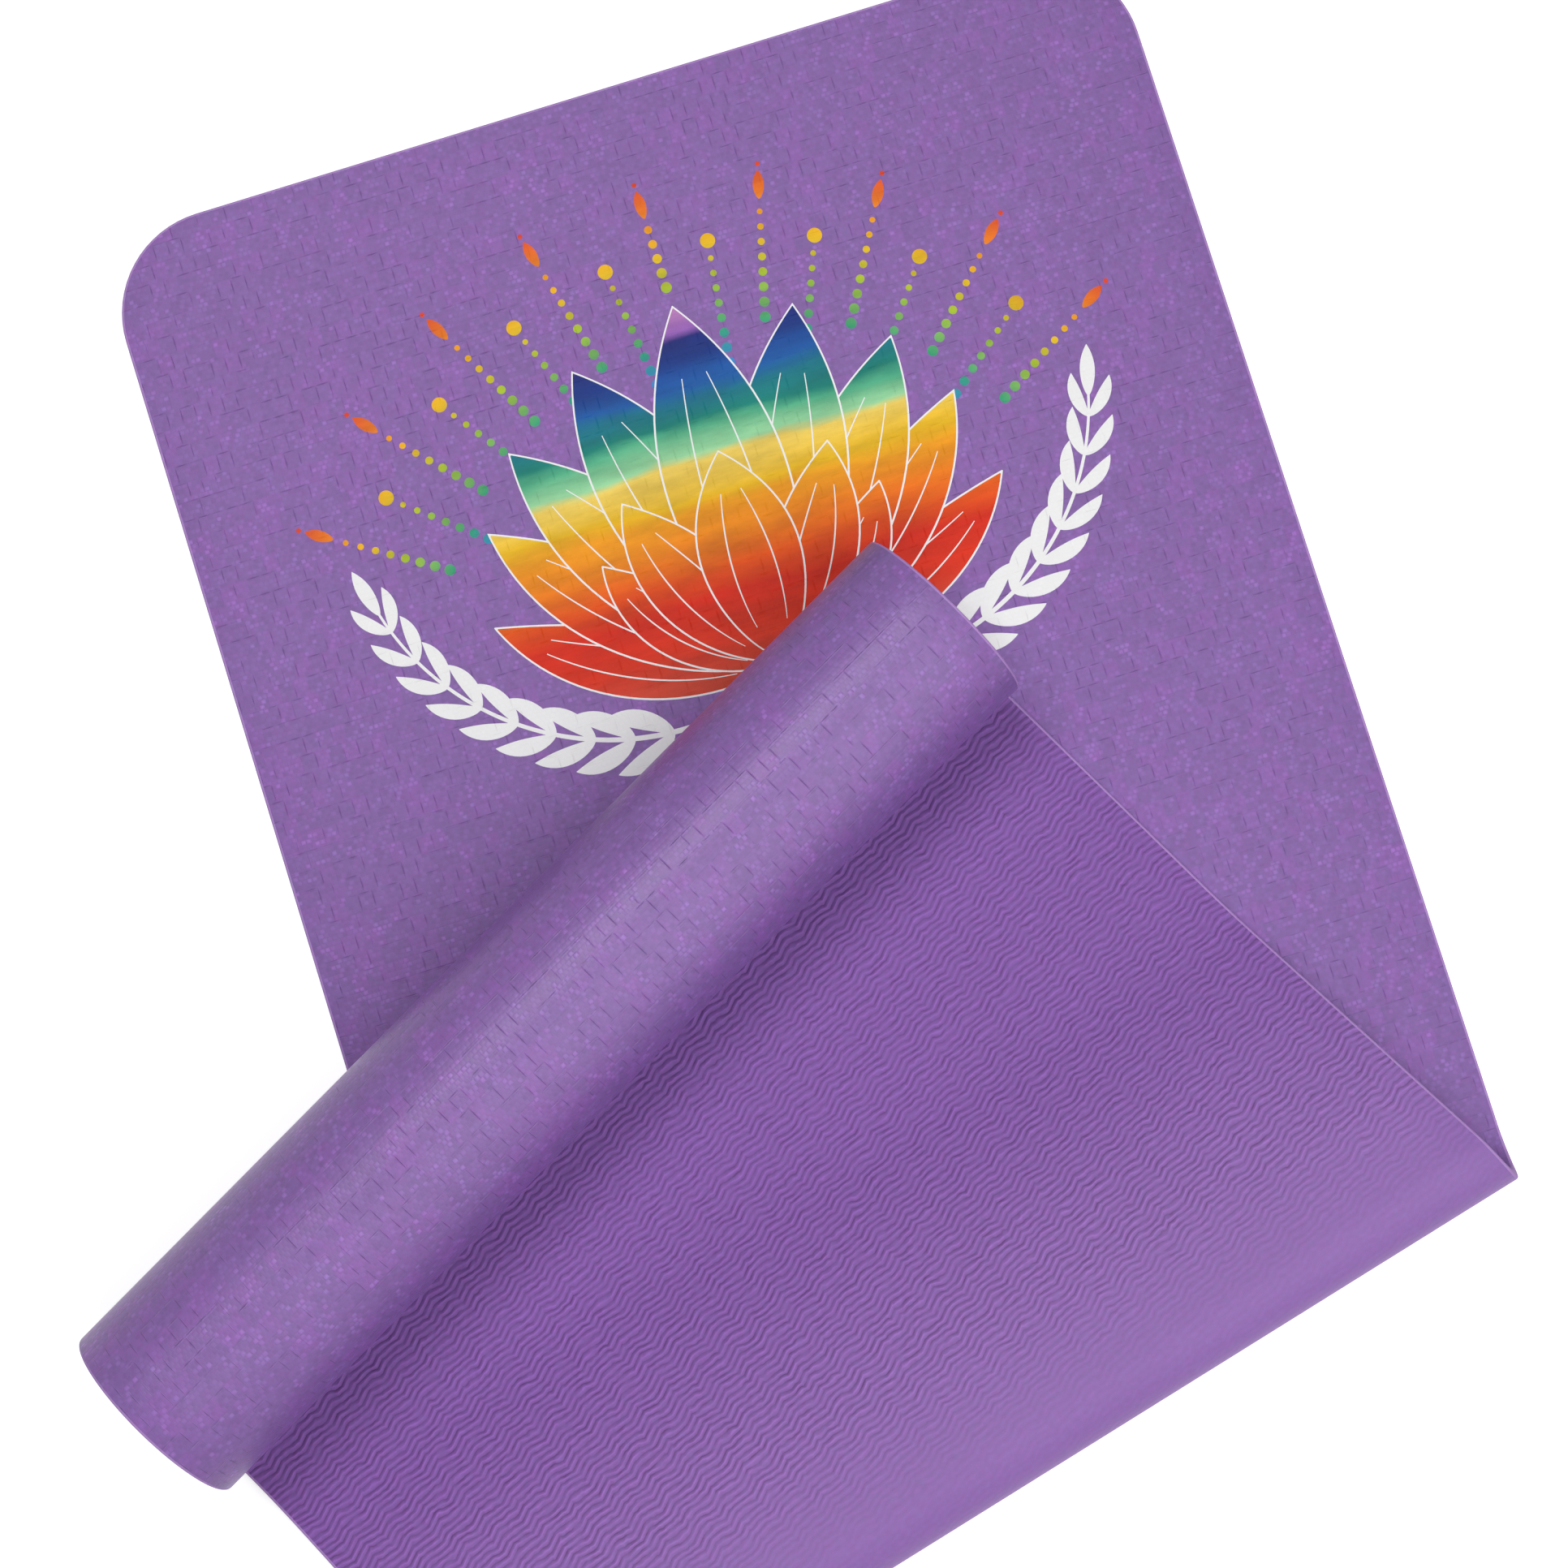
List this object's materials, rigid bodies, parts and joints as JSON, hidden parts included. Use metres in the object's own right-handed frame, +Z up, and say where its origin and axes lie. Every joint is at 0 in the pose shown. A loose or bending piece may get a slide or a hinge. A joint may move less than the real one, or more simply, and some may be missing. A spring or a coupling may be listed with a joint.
{
  "type": "yoga mat",
  "caption": "Foam yoga mat with rounded corners, lying flat at its head end, folded over on a slant and rolled up at its foot end; it opens out flat.",
  "frame": {"origin": "on the underside, in the middle of the flat part: on the centre line, halfway between the head edge and the start of the fold", "axes": "+Y along the flat part towards the head edge, +Z up out of the top face, +X across the mat to the right"},
  "size_m": [0.7809, 0.9006, 0.1238],
  "materials": {
    "bottom_foam": "matt foam, embossed with fine wavy ribs",
    "top_foam": "matt foam, embossed with a fine woven tile pattern, with a print"
  },
  "bodies": {
    "flat": {"bottom_layer_flat": "bottom_foam", "top_layer_flat": "top_foam"},
    "bend_1": {"bottom_layer_bend_1": "bottom_foam", "top_layer_bend_1": "top_foam"},
    "bend_2": {"bottom_layer_bend_2": "bottom_foam", "top_layer_bend_2": "top_foam"},
    "bend_3": {"bottom_layer_bend_3": "bottom_foam", "top_layer_bend_3": "top_foam"},
    "bend_4": {"bottom_layer_bend_4": "bottom_foam", "top_layer_bend_4": "top_foam"},
    "bend_5": {"bottom_layer_bend_5": "bottom_foam", "top_layer_bend_5": "top_foam"},
    "ramp": {"bottom_layer_ramp": "bottom_foam", "top_layer_ramp": "top_foam"},
    "landing": {"bottom_layer_landing": "bottom_foam", "top_layer_landing": "top_foam"},
    "flap": {"bottom_layer_flap": "bottom_foam", "top_layer_flap": "top_foam"},
    "roll_01": {"bottom_layer_roll_01": "bottom_foam", "top_layer_roll_01": "top_foam"},
    "roll_02": {"bottom_layer_roll_02": "bottom_foam", "top_layer_roll_02": "top_foam"},
    "roll_03": {"bottom_layer_roll_03": "bottom_foam", "top_layer_roll_03": "top_foam"},
    "roll_04": {"bottom_layer_roll_04": "bottom_foam", "top_layer_roll_04": "top_foam"},
    "roll_05": {"bottom_layer_roll_05": "bottom_foam", "top_layer_roll_05": "top_foam"},
    "roll_06": {"bottom_layer_roll_06": "bottom_foam", "top_layer_roll_06": "top_foam"},
    "roll_07": {"bottom_layer_roll_07": "bottom_foam", "top_layer_roll_07": "top_foam"},
    "roll_08": {"bottom_layer_roll_08": "bottom_foam", "top_layer_roll_08": "top_foam"},
    "roll_09": {"bottom_layer_roll_09": "bottom_foam", "top_layer_roll_09": "top_foam"},
    "roll_10": {"bottom_layer_roll_10": "bottom_foam", "top_layer_roll_10": "top_foam"},
    "roll_11": {"bottom_layer_roll_11": "bottom_foam", "top_layer_roll_11": "top_foam"},
    "roll_12": {"bottom_layer_roll_12": "bottom_foam", "top_layer_roll_12": "top_foam"},
    "roll_13": {"bottom_layer_roll_13": "bottom_foam", "top_layer_roll_13": "top_foam"},
    "roll_14": {"bottom_layer_roll_14": "bottom_foam", "top_layer_roll_14": "top_foam"},
    "roll_15": {"bottom_layer_roll_15": "bottom_foam", "top_layer_roll_15": "top_foam"},
    "roll_16": {"bottom_layer_roll_16": "bottom_foam", "top_layer_roll_16": "top_foam"},
    "roll_17": {"bottom_layer_roll_17": "bottom_foam", "top_layer_roll_17": "top_foam"},
    "roll_18": {"bottom_layer_roll_18": "bottom_foam", "top_layer_roll_18": "top_foam"},
    "roll_19": {"bottom_layer_roll_19": "bottom_foam", "top_layer_roll_19": "top_foam"},
    "roll_20": {"bottom_layer_roll_20": "bottom_foam", "top_layer_roll_20": "top_foam"}
  },
  "joints": [
    {"name": "unfold", "type": "hinge", "parent": "flat", "child": "bend_1", "pos_m": [0, -0.3975, 0], "axis": [0.9703, 0.2419, 0], "range_deg": [0, 19.4]},
    {"name": "unfold_2", "type": "hinge", "parent": "bend_1", "child": "bend_2", "pos_m": [0.00015, -0.41554, 0.00618], "axis": [0.9703, 0.2419, 0], "range_deg": [0, 38.8]},
    {"name": "unfold_3", "type": "hinge", "parent": "bend_2", "child": "bend_3", "pos_m": [-0.00158, -0.42608, 0.02199], "axis": [0.9703, 0.2419, 0], "range_deg": [0, 38.8]},
    {"name": "unfold_4", "type": "hinge", "parent": "bend_3", "child": "bend_4", "pos_m": [-0.00622, -0.4249, 0.04045], "axis": [0.9703, 0.2419, 0], "range_deg": [0, 38.8]},
    {"name": "unfold_5", "type": "hinge", "parent": "bend_4", "child": "bend_5", "pos_m": [-0.01354, -0.41298, 0.05342], "axis": [0.9703, 0.2419, 0], "range_deg": [0, 38.8]},
    {"name": "unfold_6", "type": "hinge", "parent": "bend_5", "child": "ramp", "pos_m": [-0.02212, -0.39603, 0.05517], "axis": [0.9703, 0.2419, 0], "range_deg": [0, 19.4]},
    {"name": "settle_1", "type": "hinge", "parent": "ramp", "child": "landing", "pos_m": [-0.10205, -0.2489, 0.00886], "axis": [-0.9703, -0.2419, 0], "range_deg": [0, 7]},
    {"name": "settle_2", "type": "hinge", "parent": "landing", "child": "flap", "pos_m": [-0.11097, -0.23201, 0.00658], "axis": [-0.9703, -0.2419, 0], "range_deg": [0, 7]},
    {"name": "unroll_01", "type": "hinge", "parent": "flap", "child": "roll_01", "pos_m": [-0.17834, -0.10522, 0.0063], "axis": [-0.8829, -0.4695, 0], "range_deg": [0, 17.25]},
    {"name": "unroll_02", "type": "hinge", "parent": "roll_01", "child": "roll_02", "pos_m": [-0.19434, -0.07512, 0.01686], "axis": [-0.8829, -0.4695, 0], "range_deg": [0, 34.5]},
    {"name": "unroll_03", "type": "hinge", "parent": "roll_02", "child": "roll_03", "pos_m": [-0.2046, -0.05582, 0.04456], "axis": [-0.8829, -0.4695, 0], "range_deg": [0, 34.5]},
    {"name": "unroll_04", "type": "hinge", "parent": "roll_03", "child": "roll_04", "pos_m": [-0.20568, -0.05379, 0.07937], "axis": [-0.8829, -0.4695, 0], "range_deg": [0, 34.5]},
    {"name": "unroll_05", "type": "hinge", "parent": "roll_04", "child": "roll_05", "pos_m": [-0.19741, -0.06935, 0.10902], "axis": [-0.8829, -0.4695, 0], "range_deg": [0, 34.5]},
    {"name": "unroll_06", "type": "hinge", "parent": "roll_05", "child": "roll_06", "pos_m": [-0.18288, -0.09667, 0.12331], "axis": [-0.8829, -0.4695, 0], "range_deg": [0, 34.5]},
    {"name": "unroll_07", "type": "hinge", "parent": "roll_06", "child": "roll_07", "pos_m": [-0.16729, -0.126, 0.11762], "axis": [-0.8829, -0.4695, 0], "range_deg": [0, 34.5]},
    {"name": "unroll_08", "type": "hinge", "parent": "roll_07", "child": "roll_08", "pos_m": [-0.15609, -0.14707, 0.09441], "axis": [-0.8829, -0.4695, 0], "range_deg": [0, 34.5]},
    {"name": "unroll_09", "type": "hinge", "parent": "roll_08", "child": "roll_09", "pos_m": [-0.15307, -0.15275, 0.06214], "axis": [-0.8829, -0.4695, 0], "range_deg": [0, 34.5]},
    {"name": "unroll_10", "type": "hinge", "parent": "roll_09", "child": "roll_10", "pos_m": [-0.15908, -0.14144, 0.03228], "axis": [-0.8829, -0.4695, 0], "range_deg": [0, 34.5]},
    {"name": "unroll_11", "type": "hinge", "parent": "roll_10", "child": "roll_11", "pos_m": [-0.17182, -0.11748, 0.01513], "axis": [-0.8829, -0.4695, 0], "range_deg": [0, 34.5]},
    {"name": "unroll_12", "type": "hinge", "parent": "roll_11", "child": "roll_12", "pos_m": [-0.18669, -0.08951, 0.01635], "axis": [-0.8829, -0.4695, 0], "range_deg": [0, 34.5]},
    {"name": "unroll_13", "type": "hinge", "parent": "roll_12", "child": "roll_13", "pos_m": [-0.19848, -0.06735, 0.03507], "axis": [-0.8829, -0.4695, 0], "range_deg": [0, 34.5]},
    {"name": "unroll_14", "type": "hinge", "parent": "roll_13", "child": "roll_14", "pos_m": [-0.20315, -0.05856, 0.06433], "axis": [-0.8829, -0.4695, 0], "range_deg": [0, 34.5]},
    {"name": "unroll_15", "type": "hinge", "parent": "roll_14", "child": "roll_15", "pos_m": [-0.19927, -0.06585, 0.0937], "axis": [-0.8829, -0.4695, 0], "range_deg": [0, 34.5]},
    {"name": "unroll_16", "type": "hinge", "parent": "roll_15", "child": "roll_16", "pos_m": [-0.18841, -0.08628, 0.11297], "axis": [-0.8829, -0.4695, 0], "range_deg": [0, 34.5]},
    {"name": "unroll_17", "type": "hinge", "parent": "roll_16", "child": "roll_17", "pos_m": [-0.17452, -0.11241, 0.11571], "axis": [-0.8829, -0.4695, 0], "range_deg": [0, 34.5]},
    {"name": "unroll_18", "type": "hinge", "parent": "roll_17", "child": "roll_18", "pos_m": [-0.1625, -0.135, 0.1014], "axis": [-0.8829, -0.4695, 0], "range_deg": [0, 34.5]},
    {"name": "unroll_19", "type": "hinge", "parent": "roll_18", "child": "roll_19", "pos_m": [-0.15649, -0.14631, 0.07548], "axis": [-0.8829, -0.4695, 0], "range_deg": [0, 34.5]},
    {"name": "unroll_20", "type": "hinge", "parent": "roll_19", "child": "roll_20", "pos_m": [-0.1584, -0.14272, 0.04725], "axis": [-0.8829, -0.4695, 0], "range_deg": [0, 34.71]}
  ],
  "couplings": [
    {"joint": "unfold_2", "follows": "unfold", "ratio": 2},
    {"joint": "unfold_3", "follows": "unfold", "ratio": 2},
    {"joint": "unfold_4", "follows": "unfold", "ratio": 2},
    {"joint": "unfold_5", "follows": "unfold", "ratio": 2},
    {"joint": "unfold_6", "follows": "unfold", "ratio": 1},
    {"joint": "settle_1", "follows": "unfold", "ratio": 0.36083},
    {"joint": "settle_2", "follows": "unfold", "ratio": 0.36083},
    {"joint": "unroll_01", "follows": "unfold", "ratio": 0.88918},
    {"joint": "unroll_02", "follows": "unfold", "ratio": 1.7784},
    {"joint": "unroll_03", "follows": "unfold", "ratio": 1.7784},
    {"joint": "unroll_04", "follows": "unfold", "ratio": 1.7784},
    {"joint": "unroll_05", "follows": "unfold", "ratio": 1.7784},
    {"joint": "unroll_06", "follows": "unfold", "ratio": 1.7784},
    {"joint": "unroll_07", "follows": "unfold", "ratio": 1.7784},
    {"joint": "unroll_08", "follows": "unfold", "ratio": 1.7784},
    {"joint": "unroll_09", "follows": "unfold", "ratio": 1.7784},
    {"joint": "unroll_10", "follows": "unfold", "ratio": 1.7784},
    {"joint": "unroll_11", "follows": "unfold", "ratio": 1.7784},
    {"joint": "unroll_12", "follows": "unfold", "ratio": 1.7784},
    {"joint": "unroll_13", "follows": "unfold", "ratio": 1.7784},
    {"joint": "unroll_14", "follows": "unfold", "ratio": 1.7784},
    {"joint": "unroll_15", "follows": "unfold", "ratio": 1.7784},
    {"joint": "unroll_16", "follows": "unfold", "ratio": 1.7784},
    {"joint": "unroll_17", "follows": "unfold", "ratio": 1.7784},
    {"joint": "unroll_18", "follows": "unfold", "ratio": 1.7784},
    {"joint": "unroll_19", "follows": "unfold", "ratio": 1.7784},
    {"joint": "unroll_20", "follows": "unfold", "ratio": 1.7893}
  ]
}
